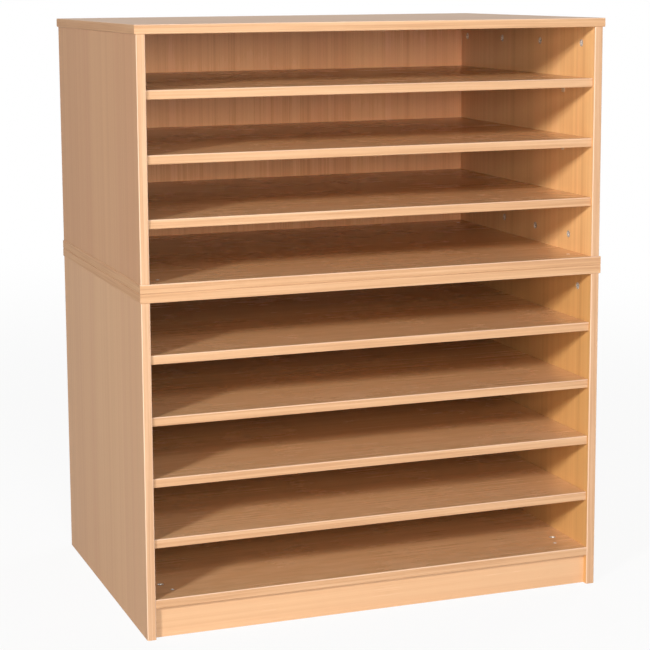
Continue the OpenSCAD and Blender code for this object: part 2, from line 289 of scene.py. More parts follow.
@dataclass(frozen=True)
class PrintedBeech:
    """Beech print on melamine: wide soft bands, narrow streaks, lines and flecks.

    Repeats are per metre, across the grain and along it.
    """

    light: Colour = paint(215, 168, 112)
    middle: Colour = paint(208, 158, 102)
    dark: Colour = paint(196, 148, 92)
    blush: Colour = paint(209, 153, 100)
    fleck: Colour = paint(172, 122, 75)
    blush_share: float = 0.3
    bands: float = 0.3
    streaks: float = 0.42
    lines: float = 0.28
    flecks: float = 0.2
    wander: float = 0.003
    wander_repeats: Pair = (2.5, 0.9)
    band_repeats: Pair = (19.0, 0.25)
    streak_repeats: Pair = (70.0, 0.4)
    line_repeats: Pair = (420.0, 1.8)
    blush_repeats: Pair = (34.0, 0.3)
    fleck_repeats: Pair = (1300.0, 90.0)
    tone_places: Tuple[float, ...] = (0.34, 0.5, 0.66)
    blush_span: Pair = (0.45, 0.7)
    fleck_span: Pair = (0.64, 0.8)

    def lay(self, sheet: Recipe, grain: Axis) -> Tuple[Socket, Socket]:
        """Lays the print on a sheet.

        Args:
            sheet: Material that takes the print.
            grain: Way that the grain runs.

        Returns:
            The print's colour, and its level from dark to light.
        """
        drift = sheet.noise(sheet.place, grain.stretch(self.wander_repeats), detail=1.0, outlet=1)
        spot = sheet.node("ShaderNodeVectorMath", {0: drift, 1: [self.wander] * 3, 2: sheet.place},
                          operation="MULTIPLY_ADD")

        def figure(repeats: Pair, detail: float = 2.0) -> Socket:
            """Returns the level of a figure that follows the grain."""
            return sheet.noise(spot, grain.stretch(repeats), detail)

        level = sheet.sum((figure(self.band_repeats), self.bands),
                          (figure(self.streak_repeats), self.streaks),
                          (figure(self.line_repeats), self.lines))
        colour = sheet.ramp(level, self.tone_places, self.dark, self.middle, self.light)
        share = sheet.span(figure(self.blush_repeats, detail=1.0), *self.blush_span,
                           end=self.blush_share)
        colour = sheet.blend(share, colour, self.blush)
        share = sheet.span(figure(self.fleck_repeats, detail=1.0), *self.fleck_span,
                           end=self.flecks)
        return sheet.blend(share, colour, self.fleck), level


@dataclass(frozen=True)
class Board:
    """Melamine-faced board, whose cut edges show raw chips.

    The face that looks along its thickness axis may have a print of its own; the rack uses this
    for lit and shaded copies of one print, which are painted light and shade.
    """

    name: str
    grain: Axis
    thickness: Axis
    look: PrintedBeech = PrintedBeech()
    far_look: Optional[PrintedBeech] = None
    gloss: float = 0.5
    wear: float = 0.0
    # Painted light: the print is paled towards the front of an upper face, in patches, with the
    # same tint as the wear at the scuffs.
    painted_front_light: float = 0.0
    scuff_and_light_tint: Colour = paint(250, 206, 167)
    chip_light: Colour = paint(214, 184, 140)
    chip_dark: Colour = paint(150, 112, 72)
    gloss_rough: float = 0.27
    cut_rough: float = 0.9
    rough_play: float = 0.04
    scuff_rough: float = 0.2
    handling_repeats: float = 5.0
    pearl_repeats: float = 500.0
    surface_height: float = 0.003
    relief: float = 0.35 * MM
    patch_repeats: float = 9.0
    scratch_repeats: Point = (30.0, 220.0, 220.0)
    patch_share: float = 0.6
    scuff_span: Pair = (0.56, 0.7)
    # Depths over which the painted light fades in, and the patches that break it up.
    painted_light_zone: Pair = (-0.02, -0.3)
    light_patch_repeats: Point = (16.0, 70.0, 70.0)
    light_patch_span: Pair = (0.3, 0.7)
    light_patch_range: Pair = (0.75, 1.25)
    chip_repeats: float = 420.0
    dust_repeats: float = 1500.0
    chip_share: float = 0.6
    chip_places: Pair = (0.2, 0.75)

    def make(self) -> Material:
        """Makes the board's material.

        Returns:
            The material.
        """
        material = bpy.data.materials.new(self.name)
        sheet = Recipe(material)
        sheet.give("Specular IOR Level", self.gloss)
        colour, level = self.look.lay(sheet, self.grain)
        if self.far_look:
            colour = sheet.blend(sheet.facing_share(self.thickness, False), colour,
                                 self.far_look.lay(sheet, self.grain)[0])
        chips, crumbs = self.chips(sheet)
        face = sheet.facing_share(self.thickness)
        scuffs = self.scuffs(sheet)
        # Paler at the scuffs, which is wear, and towards the front of upper faces, which is
        # painted light.
        paled = sheet.blend(self.scuffed_and_lit(sheet, scuffs), colour, self.scuff_and_light_tint)
        sheet.give("Base Color", sheet.blend(face, chips, paled))
        play = sheet.sum((level, self.rough_play),
                         (sheet.specks(self.handling_repeats), self.rough_play),
                         (scuffs, self.wear * self.scuff_rough),
                         (face, self.gloss_rough - self.cut_rough))
        rough = sheet.combine("ADD", play, self.cut_rough - self.rough_play)
        sheet.give("Roughness", rough)
        pearl = sheet.specks(self.pearl_repeats, detail=1.0)
        surface = sheet.sum((pearl, self.surface_height), (level, self.surface_height))
        height = sheet.node("ShaderNodeMix", {0: face, 2: crumbs, 3: surface})
        sheet.relief(height, self.relief)
        return material

    def scuffs(self, sheet: Recipe) -> Socket:
        """Finds where paper and hands have rubbed the face.

        Args:
            sheet: Material that takes the scuffs.

        Returns:
            1 on the scuffs and 0 elsewhere.
        """
        scratches = sheet.noise(sheet.place, self.scratch_repeats, detail=3.0, rough=0.7)
        level = sheet.shared(sheet.specks(self.patch_repeats), scratches, self.patch_share)
        return sheet.span(level, *self.scuff_span)

    def scuffed_and_lit(self, sheet: Recipe, scuffs: Socket) -> Socket:
        """Finds where the print is made pale, by wear at the scuffs and by painted light.

        Args:
            sheet: Material that takes the wear and the painted light.
            scuffs: Level of the scuffs.

        Returns:
            The share of pale surface: the scuffs, and painted light that grows towards the front
                of an upper face.
        """
        if not self.painted_front_light:
            return sheet.sum((scuffs, self.wear))
        # Painted light: paler towards the front of an upper face, in patches.
        near = sheet.span(sheet.part(sheet.place, Axis.DEEP), *self.painted_light_zone)
        light_patches = sheet.noise(sheet.place, self.light_patch_repeats, detail=3.0, rough=0.6)
        light_patches = sheet.span(light_patches, *self.light_patch_span, *self.light_patch_range)
        for level in (light_patches, sheet.facing_share(Axis.UP, False)):
            near = sheet.combine("MULTIPLY", near, level)
        return sheet.sum((scuffs, self.wear), (near, self.painted_front_light))

    def chips(self, sheet: Recipe) -> Tuple[Socket, Socket]:
        """Lays the chips of a cut edge.

        Args:
            sheet: Material that takes the chips.

        Returns:
            The chips' colour and their height.
        """
        tint = sheet.node("ShaderNodeTexVoronoi",
                          {"Vector": sheet.place, "Scale": self.chip_repeats}, "Color")
        dust = sheet.specks(self.dust_repeats, detail=3.0, rough=0.7)
        level = sheet.shared(sheet.node("ShaderNodeRGBToBW", {0: tint}), dust, self.chip_share)
        return sheet.ramp(level, self.chip_places, self.chip_dark, self.chip_light), level


@dataclass(frozen=True)
class Lipping:
    """Moulded edging strip with printed lines along its length.

    Its front corners that look along the last axis it is given carry a painted highlight, and its
    faces that look across carry painted shade.
    """

    name: str
    run: Axis
    end_run: Axis
    paled: Axis
    light: Colour = paint(214, 173, 135)
    middle: Colour = paint(205, 161, 122)
    dark: Colour = paint(191, 145, 107)
    # Painted highlight: a pale colour on the front corners that look along the highlight's axis.
    painted_highlight: Colour = paint(246, 216, 190)
    highlight_share: float = 0.5
    # Painted shade: darkens the strip's faces that look across.
    end_shade: Colour = paint(230, 226, 220)
    gloss: float = 0.03
    rough: float = 0.3
    end_rough: float = 0.42
    rub_rough: float = 0.06
    line_rough: float = 0.08
    rub_repeats: float = 12.0
    pearl_repeats: float = 900.0
    line_height: float = 0.006
    pearl_height: float = 0.004
    relief: float = 0.3 * MM
    corner_span: Pair = (-0.05, -0.3)
    wide_repeats: Pair = (190.0, 1.5)
    fine_repeats: Pair = (800.0, 7.0)
    wide_share: float = 0.6
    tone_places: Tuple[float, ...] = (0.36, 0.5, 0.64)

    def make(self) -> Material:
        """Makes the strip's material.

        Returns:
            The material.
        """
        material = bpy.data.materials.new(self.name)
        sheet = Recipe(material)
        sheet.give("Specular IOR Level", self.gloss)
        end = sheet.facing_share(Axis.ACROSS)
        level = sheet.node("ShaderNodeMix", {0: end, 2: self.lines(sheet, self.run),
                                             3: self.lines(sheet, self.end_run)})
        colour = sheet.ramp(level, self.tone_places, self.dark, self.middle, self.light)
        # Faces that look across are darkened by painted shade.
        colour = sheet.blend(end, colour, self.end_shade, "MULTIPLY")
        # Painted highlight on the front corners.
        sheet.give("Base Color", sheet.blend(self.corners(sheet), colour, self.painted_highlight))
        play = sheet.sum((sheet.specks(self.rub_repeats), self.rub_rough),
                         (level, self.line_rough), (end, self.end_rough - self.rough))
        least = self.rough - (self.rub_rough + self.line_rough) / 2
        sheet.give("Roughness", sheet.combine("ADD", play, least))
        pearl = sheet.specks(self.pearl_repeats, detail=1.0)
        sheet.relief(sheet.sum((level, self.line_height), (pearl, self.pearl_height)), self.relief)
        return material

    def corners(self, sheet: Recipe) -> Socket:
        """Finds the corners that carry the painted highlight.

        Args:
            sheet: Material of the strip.

        Returns:
            The share of painted highlight, which grows round the front corners that look along the
            highlight's axis.
        """
        turned_out = sheet.part(sheet.facing, self.paled)
        if self.paled is Axis.ACROSS:
            turned_out = sheet.combine("ABSOLUTE", turned_out)
        corner = sheet.combine("MULTIPLY", sheet.part(sheet.facing, Axis.DEEP), turned_out)
        return sheet.span(corner, *self.corner_span, end=self.highlight_share)

    def lines(self, sheet: Recipe, run: Axis) -> Socket:
        """Lays the printed lines.

        Args:
            sheet: Material of the strip.
            run: Way that the lines run.

        Returns:
            Their level, from dark to light.
        """
        wide = sheet.noise(sheet.place, run.stretch(self.wide_repeats))
        fine = sheet.noise(sheet.place, run.stretch(self.fine_repeats))
        return sheet.shared(wide, fine, self.wide_share)


@dataclass(frozen=True)
class BareWood:
    """Planed pale wood of dowels and corner blocks."""

    name: str = "bare_wood"
    grain: Axis = Axis.ACROSS
    light: Colour = paint(226, 200, 158)
    dark: Colour = paint(190, 152, 106)
    ring_repeats: Pair = (140.0, 9.0)
    pore_repeats: Pair = (1600.0, 60.0)
    ring_share: float = 0.65
    tone_places: Pair = (0.3, 0.7)
    pore_span: Pair = (0.2, 0.8)
    rough_range: Pair = (0.62, 0.82)
    relief: float = 0.25 * MM

    def make(self) -> Material:
        """Makes the wood's material.

        Returns:
            The material.
        """
        material = bpy.data.materials.new(self.name)
        sheet = Recipe(material)
        rings = sheet.noise(sheet.place, self.grain.stretch(self.ring_repeats), detail=3.0)
        pores = sheet.noise(sheet.place, self.grain.stretch(self.pore_repeats))
        level = sheet.shared(rings, pores, self.ring_share)
        sheet.give("Base Color", sheet.ramp(level, self.tone_places, self.dark, self.light))
        sheet.give("Roughness", sheet.span(pores, *self.pore_span, *self.rough_range))
        sheet.relief(level, self.relief)
        return material


@dataclass(frozen=True)
class Metal:
    """Metal of the fittings, cast or drawn, with a dull plated skin."""

    name: str
    light: Colour
    dark: Colour
    rough: float
    grain_repeats: float
    metallic: float
    stain_repeats: float = 260.0
    stain_share: float = 0.5
    tone_places: Pair = (0.3, 0.7)
    rough_span: Pair = (0.25, 0.75)
    rough_play: float = 0.1
    relief: float = 0.08 * MM

    def make(self) -> Material:
        """Makes the metal's material.

        Returns:
            The material.
        """
        material = bpy.data.materials.new(self.name)
        sheet = Recipe(material)
        sheet.give("Metallic", self.metallic)
        cast = sheet.specks(self.grain_repeats, detail=3.0, rough=0.6)
        level = sheet.shared(sheet.specks(self.stain_repeats), cast, self.stain_share)
        sheet.give("Base Color", sheet.ramp(level, self.tone_places, self.dark, self.light))
        sheet.give("Roughness", sheet.span(level, *self.rough_span, self.rough - self.rough_play,
                                           self.rough + self.rough_play))
        sheet.relief(cast, self.relief)
        return material


class Finishes:
    """Every finish of the rack, made once."""

    def __init__(self) -> None:
        """Makes the materials."""
        soft = {"bands": 0.4, "streaks": 0.36, "lines": 0.24, "flecks": 0.1}
        lined = {"bands": 0.14, "streaks": 0.4, "lines": 0.46, "flecks": 0.25}
        # Shaded copies of the print for the sides' outer faces and lit copies for the right sides'
        # inner faces: painted shade and painted light, for each unit.
        shaded_upper_beech = PrintedBeech(paint(190, 147, 110), paint(184, 141, 105), paint(178, 133, 99),
                              paint(186, 139, 105), paint(164, 122, 93), **soft)
        shaded_lower_beech = PrintedBeech(paint(198, 158, 122), paint(192, 152, 116), paint(186, 144, 111),
                                paint(194, 150, 116), paint(172, 132, 102), **soft)
        lit_lower_beech = PrintedBeech(paint(223, 174, 110), paint(216, 164, 101), paint(202, 150, 91),
                              paint(219, 160, 101), paint(179, 126, 72))
        lit_upper_beech = PrintedBeech(paint(245, 196, 136), paint(237, 186, 125), paint(223, 170, 113),
                             paint(241, 181, 125), paint(197, 142, 90))
        # Painted light on the backs' front faces, more in the upper unit; their rear faces take
        # the plain peach print.
        upper_back_lit_beech = PrintedBeech(paint(254, 191, 133), paint(247, 180, 124), paint(231, 160, 105),
                            paint(249, 177, 126), paint(194, 130, 83), **lined)
        lower_back_lit_beech = PrintedBeech(paint(230, 172, 117), paint(224, 162, 109), paint(209, 145, 93),
                             paint(226, 160, 110), paint(176, 118, 72), **lined)
        peach = PrintedBeech(paint(221, 180, 137), paint(216, 172, 130), paint(207, 161, 118),
                             paint(218, 168, 126), paint(191, 142, 103))
        # The top's print is greyed as a painted reflection.
        top_reflection_beech = PrintedBeech(paint(201, 165, 134), paint(194, 158, 126), paint(184, 146, 115),
                             paint(194, 152, 122), paint(160, 122, 91))
        grained = PrintedBeech(bands=0.22, streaks=0.42, lines=0.36, flecks=0.34)
        self.shelf = Board("beech_shelf", Axis.ACROSS, Axis.UP, grained, wear=0.14,
                           painted_front_light=0.36).make()
        self.boards: Dict[str, Material] = {
            "upper_top": Board("beech_top", Axis.ACROSS, Axis.UP, top_reflection_beech, gloss=0.09,
                               gloss_rough=0.4, wear=0.16).make(),
            "upper_back": Board("beech_upper_back", Axis.UP, Axis.DEEP, upper_back_lit_beech, peach).make(),
            "lower_back": Board("beech_lower_back", Axis.UP, Axis.DEEP, lower_back_lit_beech, peach).make(),
            "plinth": Board("beech_plinth", Axis.ACROSS, Axis.DEEP, peach).make()}
        self.sides: Dict[str, Material] = {}
        # The left sides take the shaded print on both faces; the right sides take the lit print
        # inside and the shaded one outside.
        for unit, shaded_print, inside in (("upper", shaded_upper_beech, lit_upper_beech), ("lower", shaded_lower_beech, lit_lower_beech)):
            self.sides[f"{unit}_left_side"] = Board(
                f"beech_{unit}_left_side", Axis.UP, Axis.ACROSS, shaded_print, gloss=0.03,
                gloss_rough=0.42).make()
            self.sides[f"{unit}_right_side"] = Board(
                f"beech_{unit}_right_side", Axis.UP, Axis.ACROSS, inside, shaded_print,
                gloss_rough=0.33).make()
        self.cross_strip = Lipping("lipping_across", Axis.ACROSS, Axis.DEEP, Axis.UP).make()
        self.seam_strip = Lipping("lipping_seam", Axis.ACROSS, Axis.DEEP, Axis.UP,
                                  highlight_share=0.0).make()
        self.upright_strip = Lipping("lipping_upright", Axis.UP, Axis.UP, Axis.ACROSS,
                                     paint(214, 175, 141), paint(205, 163, 127),
                                     paint(191, 146, 111), highlight_share=0.45).make()
        self.wood = BareWood().make()
        self.zinc = Metal("zinc_casting", paint(248, 245, 238), paint(210, 205, 197), 0.28,
                          1500, 0.6).make()
        self.screw = Metal("zinc_plate", paint(240, 237, 230), paint(212, 209, 202), 0.3,
                           2600, 0.3).make()
        self.steel = Metal("plated_steel", paint(224, 216, 204), paint(186, 178, 166), 0.3,
                           2600, 0.9).make()
        self.support = Metal("yellow_plate", paint(248, 230, 200), paint(230, 206, 170), 0.32,
                             2600, 0.35).make()


def solids(node: str) -> List[Tuple[Vector, Vector]]:
    """Finds the separate solids of a node.

    Args:
        node: Name of the node.

    Returns:
        The lowest and the highest corner of each solid, in a fixed order.
    """
    sheet = bmesh.new()
    sheet.from_mesh(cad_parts[node].data)
    bmesh.ops.remove_doubles(sheet, verts=sheet.verts, dist=WELD)
    waiting = set(sheet.verts)
    boxes = []
    while waiting:
        group = [waiting.pop()]
        for vertex in group:
            near = {edge.other_vert(vertex) for edge in vertex.link_edges} & waiting
            waiting -= near
            group.extend(near)
        low = Vector([min(vertex.co[axis] for vertex in group) for axis in range(3)])
        high = Vector([max(vertex.co[axis] for vertex in group) for axis in range(3)])
        boxes.append((low, high))
    sheet.free()
    return sorted(boxes, key=lambda box: tuple(round(part, 5) for part in box[0]))


def seat(origin: Vector, along: Vector, into: Vector) -> Matrix:
    """Makes the frame of a fitting that is drawn in millimetres.

    Args:
        origin: Place of the drawing's origin.
        along: Direction of the drawing's x.
        into: Direction of the drawing's z.

    Returns:
        The matrix from the drawing to the rack.
    """
    turn = Matrix((along, into.cross(along), into)).transposed().to_4x4()
    return Matrix.Translation(origin) @ turn @ Matrix.Scale(MM, 4)


def laid(height: float) -> Matrix:
    """Returns the turn of a drawing from z to x, at that height."""
    return Matrix.Translation((0, 0, height)) @ Matrix.Rotation(QUARTER, 4, "Y")


def stacked(rings: Sequence[Sequence[Point]]) -> Mesh:
    """Joins rings of corners to a closed solid.

    Args:
        rings: Corners of each ring, anticlockwise as seen from the last ring.

    Returns:
        The solid's mesh.
    """
    count = len(rings[0])
    corners = [corner for ring in rings for corner in ring]
    faces = [tuple(reversed(range(count)))]
    for start in range(0, len(corners) - count, count):
        for side in range(count):
            after = (side + 1) % count
            faces.append((start + side, start + after,
                          start + count + after, start + count + side))
    faces.append(tuple(range(len(corners) - count, len(corners))))
    mesh = bpy.data.meshes.new("drawing")
    mesh.from_pydata(corners, [], faces)
    return mesh


def turned(profile: Sequence[Pair], sides: int = 32, flute: float = 0.0) -> Mesh:
    """Turns a closed solid about z.

    Args:
        profile: Height and radius of each ring, from the bottom to the top.
        sides: Sides of each ring.
        flute: Depth that every second corner is drawn in.

    Returns:
        The solid's mesh.
    """
    def corner(height: float, radius: float, side: int) -> Point:
        """Returns one corner of a ring."""
        reach, angle = radius - flute * (side % 2), 2 * math.pi * side / sides
        return reach * math.cos(angle), reach * math.sin(angle), height

    return stacked([[corner(height, radius, side) for side in range(sides)]
                    for height, radius in profile])


def prism(outline: Sequence[Pair], low: float, high: float, taper: float = 1.0) -> Mesh:
    """Draws a prism along z.

    Args:
        outline: Corners in x and y, anticlockwise.
        low: Height of its bottom.
        high: Height of its top.
        taper: Scale of the top against the bottom.

    Returns:
        The prism's mesh.
    """
    return stacked([[(x, y, low) for x, y in outline],
                    [(x * taper, y * taper, high) for x, y in outline]])


def cross(length: float, width: float, turn: float) -> List[Pair]:
    """Draws the outline of a cross.

    Args:
        length: Length of each bar.
        width: Width of each bar.
        turn: Angle that the cross is turned by.

    Returns:
        Its twelve corners, anticlockwise.
    """
    far, near = length / 2, width / 2
    corners = []
    for arm in range(4):
        angle = turn + QUARTER * arm
        for x, y in ((near, -near), (far, -near), (far, near)):
            corners.append((x * math.cos(angle) - y * math.sin(angle),
                            x * math.sin(angle) + y * math.cos(angle)))
    return corners


def thread(start: float, end: float, pitch: float, root: float, crest: float) -> List[Pair]:
    """Draws the profile of a thread.

    Args:
        start: Height where it starts.
        end: Height that its whole turns stay below.
        pitch: Height of one turn.
        root: Radius between the turns.
        crest: Radius of the turns.

    Returns:
        Height and radius of each ring.
    """
    turns = int((end - start) / pitch)
    return [(start + pitch * (turn + half / 2), crest if half else root)
            for turn in range(turns) for half in (0, 1)]


def placed(name: str, data: bpy.types.ID) -> bpy.types.Object:
    """Puts a new object into the scene.

    Args:
        name: Its name.
        data: Its mesh, light or lens.

    Returns:
        The object.
    """
    item = bpy.data.objects.new(name, data)
    bpy.context.scene.collection.objects.link(item)
    return item


def carve(body: Mesh, tools: Sequence[Mesh], how: str = "DIFFERENCE") -> Mesh:
    """Cuts tools out of a solid, or joins them to it.

    Args:
        body: The solid.
        tools: Solids that are cut out or joined, one after another.
        how: DIFFERENCE or UNION.

    Returns:
        The carved mesh.
    """
    made = [placed("work", mesh) for mesh in (body, *tools)]
    for tool in made[1:]:
        step = made[0].modifiers.new("step", "BOOLEAN")
        step.operation = how
        step.object = tool
        step.solver = "EXACT"
    graph = bpy.context.evaluated_depsgraph_get()
    mesh = bpy.data.meshes.new_from_object(made[0].evaluated_get(graph))
    for item in made:
        bpy.data.objects.remove(item)
    return mesh


def set_out(name: str, node: str, drawing: Mesh, seats: Iterable[Matrix],
            material: Material) -> None:
    """Sets copies of a drawing at their seats, as one piece that stands for a node.

    Args:
        name: Name of the piece.
        node: Node that it stands for.
        drawing: Mesh of one fitting, in millimetres.
        seats: Frame of each copy.
        material: Finish.
    """
    sheet = bmesh.new()
    for place in seats:
        known = len(sheet.verts)
        sheet.from_mesh(drawing)
        sheet.verts.ensure_lookup_table()
        bmesh.ops.transform(sheet, matrix=place, verts=sheet.verts[known:])
    mesh = bpy.data.meshes.new(name)
    sheet.to_mesh(mesh)
    sheet.free()
    mesh.shade_smooth()
    mesh.set_sharp_from_angle(angle=SHARP_EDGE)
    mesh.materials.clear()
    mesh.materials.append(material)
    piece = placed(name, mesh)
    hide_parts(node)
    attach(piece, "carcass")
    log.info("made %s for %s", name, node)


def dress(material: Material, *nodes: str) -> None:
    """Gives nodes of the frame a finish.

    Args:
        material: The finish.
        *nodes: Names of the nodes.
    """
    for name in nodes:
        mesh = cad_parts[name].data
        mesh.materials.clear()
        mesh.materials.append(material)
        log.info("dressed %s in %s", name, material.name)


@dataclass(frozen=True)
class Carcass:
    """The fixed boards of both units, with their edging strips."""

    cross_boards: Tuple[str, ...] = ("upper_base", "lower_top", "bottom_panel")
    front_strips: Tuple[str, ...] = ("upper_top_edging", "upper_base_edging",
                                     "bottom_panel_edging")

    def dress(self, finishes: Finishes) -> None:
        """Gives the boards and strips their finishes.

        Args:
            finishes: Finishes of the rack.
        """
        dress(finishes.shelf, *self.cross_boards)
        for name, material in finishes.boards.items():
            dress(material, name)
        dress(finishes.cross_strip, *self.front_strips)
        dress(finishes.seam_strip, "lower_top_edging")
        for name, material in finishes.sides.items():
            dress(material, name)
            dress(finishes.upright_strip, f"{name}_edging")
        dress(finishes.wood, "corner_blocks")


@dataclass(frozen=True)
class Support:
    """Bent steel support with rounded corners and a plug, in millimetres."""

    reach: float = 16.0
    drop: float = 17.0
    width: float = 12.0
    thick: float = 1.5
    bend: float = 2.4
    corner: float = 3.0
    plug_drop: float = 8.0
    plug_radius: float = 2.45
    plug_length: float = 9.0
    plug_chamfer: float = 0.6
    plug_sides: int = 24
    steps: int = 6

    def whole(self) -> float:
        """Returns the length of the strip along its outer face."""
        return self.reach + self.drop - 2 * self.bend + QUARTER * self.bend

    def spot(self, length: float) -> Tuple[Vector, Vector]:
        """Finds a point of the outer face.

        Args:
            length: Length along the strip from the ledge's tip.

        Returns:
            The point, and the direction into the steel there.
        """
        start = self.reach - self.bend
        angle = (length - start) / self.bend
        if angle <= 0:
            return Axis.ACROSS.way(length - self.reach), Axis.UP.way(-1)
        if angle >= QUARTER:
            foot = self.whole() - length
            return Axis.UP.way(foot - self.drop), Axis.ACROSS.way(-1)
        out = Vector((math.sin(angle), 0, math.cos(angle)))
        return Vector((-self.bend, 0, -self.bend)) + out * self.bend, -out

    def half_width(self, length: float) -> float:
        """Returns half the strip's width, which its rounded corners narrow."""
        inset = self.corner - min(length, self.whole() - length, self.corner)
        return self.width / 2 - self.corner + math.sqrt(self.corner**2 - inset**2)

    def section(self, length: float) -> List[Point]:
        """Draws the strip's section.

        Args:
            length: Length along the strip from the ledge's tip.

        Returns:
            Its four corners.
        """
        outer, inward = self.spot(length)
        inner = outer + inward * self.thick
        half = self.half_width(length)
        return [(outer.x, -half, outer.z), (outer.x, half, outer.z),
                (inner.x, half, inner.z), (inner.x, -half, inner.z)]

    def draw(self) -> Mesh:
        """Draws one support, with x towards its panel and z up.

        Returns:
            Its mesh.
        """
        angles = [QUARTER * step / self.steps for step in range(self.steps + 1)]
        tip = [self.corner * (1 - math.cos(angle)) for angle in angles]
        turn = [self.reach - self.bend + self.bend * angle for angle in angles]
        foot = [self.whole() - length for length in reversed(tip)]
        plate = stacked([self.section(length) for length in tip + turn + foot])
        rod = turned([(-self.thick / 2, self.plug_radius),
                      (self.plug_length - self.plug_chamfer, self.plug_radius),
                      (self.plug_length, self.plug_radius - self.plug_chamfer)], self.plug_sides)
        rod.transform(laid(-self.plug_drop))
        return carve(plate, [rod], "UNION")

    def seats(self, node: str) -> List[Matrix]:
        """Finds the places of the supports.

        Args:
            node: Their node.

        Returns:
            The frame of each support.
        """
        places = []
        for low, high in solids(node):
            side = 1 if high.x > 0 else -1
            wall = side * (max(abs(low.x), abs(high.x)) - self.plug_length * MM)
            origin = Vector((wall, (low.y + high.y) / 2, high.z))
            places.append(seat(origin, Axis.ACROSS.way(side), Axis.UP.way()))
        return places


@dataclass(frozen=True)
class LooseShelf:
    """One loose shelf with its strip and its four supports."""

    number: int
    support: Support = Support()

    def build(self, finishes: Finishes) -> None:
        """Dresses the shelf and makes its supports.

        Args:
            finishes: Finishes of the rack.
        """
        name = f"shelf_{self.number}"
        dress(finishes.shelf, name)
        dress(finishes.cross_strip, f"{name}_edging")
        node = f"{name}_supports"
        set_out(f"{name}_support_plates", node, self.support.draw(), self.support.seats(node),
                finishes.support)


@dataclass(frozen=True)
class Cam:
    """Cast cam with a raised rim, a cross recess and an arrow, in millimetres.

    Its face is at z = 0, z runs into the board, and x runs to the bolt's board.
    """

    radius: float = 7.45
    height: float = 13.0
    chamfer: float = 0.5
    rim: float = 1.9
    rim_rise: float = 0.3
    rim_slope: float = 0.4
    sides: int = 48
    bar_length: float = 9.0
    bar_width: float = 2.3
    bar_taper: float = 0.78
    recess: float = 2.7
    arrow_half: float = 0.65
    arrow_depth: float = 0.3
    arrow_margins: Pair = (0.1, 0.2)
    bolt_depth: float = 8.7
    pocket_radius: float = 3.5
    pocket_start: float = -3.4
    spare: float = 1.0

    def draw(self) -> Mesh:
        """Draws one cam.

        Returns:
            Its mesh.
        """
        edge = self.radius - self.chamfer
        inside = self.radius - self.rim
        body = turned([(self.rim_rise, inside - self.rim_slope), (0, inside), (0, edge),
                       (self.chamfer, self.radius), (self.height - self.chamfer, self.radius),
                       (self.height, edge)], self.sides)
        bars = prism(cross(self.bar_length, self.bar_width, QUARTER / 2), -self.spare,
                     self.recess, self.bar_taper)
        tail = inside + self.arrow_margins[0]
        arrow = prism([(edge - self.arrow_margins[1], 0), (tail, self.arrow_half),
                       (tail, -self.arrow_half)], -self.spare, self.arrow_depth)
        pocket = turned([(self.pocket_start, self.pocket_radius),
                         (self.radius + self.spare, self.pocket_radius)])
        pocket.transform(laid(self.bolt_depth))
        return carve(body, [bars, arrow, pocket])


@dataclass(frozen=True)
class CamBolt:
    """Bolt that a cam draws up: a round head, a neck, a shank and a thread.

    The head's shape gives heights and radii as shares of its radius.
    """

    head: float = 3.3
    head_shape: Tuple[Pair, ...] = ((-1.0, 0.55), (-0.8, 0.85), (-0.4, 1.0), (0.4, 1.0),
                                    (0.8, 0.85))
    neck: float = 2.0
    neck_end: float = 7.5
    shank: float = 3.0
    shank_end: float = 34.0
    length: float = 45.0
    crest: float = 2.45
    root: float = 1.8
    pitch: float = 1.4
    shoulder: float = 0.3
    shank_taper: float = 0.4
    point: float = 0.5
    sides: int = 24

    def draw(self, line: Matrix) -> Mesh:
        """Draws one bolt.

        Args:
            line: Turn from z to the line of the bolt.

        Returns:
            Its mesh.
        """
        profile = [(self.head * height, self.head * reach) for height, reach in self.head_shape]
        profile += [(self.head, self.neck), (self.neck_end, self.neck),
                    (self.neck_end + self.shoulder, self.shank),
                    (self.shank_end - self.shank_taper, self.shank), (self.shank_end, self.root)]
        profile += thread(self.shank_end + self.shoulder, self.length - self.point, self.pitch,
                          self.root, self.crest)
        profile += [(self.length - self.point, self.root), (self.length, self.root - self.point)]
        mesh = turned(profile, self.sides)
        mesh.transform(line)
        return mesh


@dataclass(frozen=True)
class CamRow:
    """The cams and bolts that hold one board."""

    board: str
    bore: Axis
    pull: Axis
    downwards: bool = False

    def seats(self) -> List[Matrix]:
        """Finds the places of the cams.

        Returns:
            The frame of each cam.
        """
        places = []
        for low, high in solids(f"{self.board}_cams"):
            side = 1 if high.x > 0 else -1
            into = self.bore.way(side if self.bore is Axis.ACROSS else -1)
            along = self.pull.way(side if self.pull is Axis.ACROSS else 1 - 2 * self.downwards)
            half = (high - low)[self.bore.value] / 2
            places.append(seat((low + high) / 2 - into * half, along, into))
        return places

    def build(self, cam: Cam, bolt: CamBolt, finishes: Finishes) -> None:
        """Makes the row's cams and bolts.

        Args:
            cam: The cam.
            bolt: The bolt.
            finishes: Finishes of the rack.
        """
        seats = self.seats()
        set_out(f"{self.board}_cam_castings", f"{self.board}_cams", cam.draw(), seats,
                finishes.zinc)
        set_out(f"{self.board}_cam_bolts", f"{self.board}_bolts",
                bolt.draw(laid(cam.bolt_depth)), seats, finishes.steel)


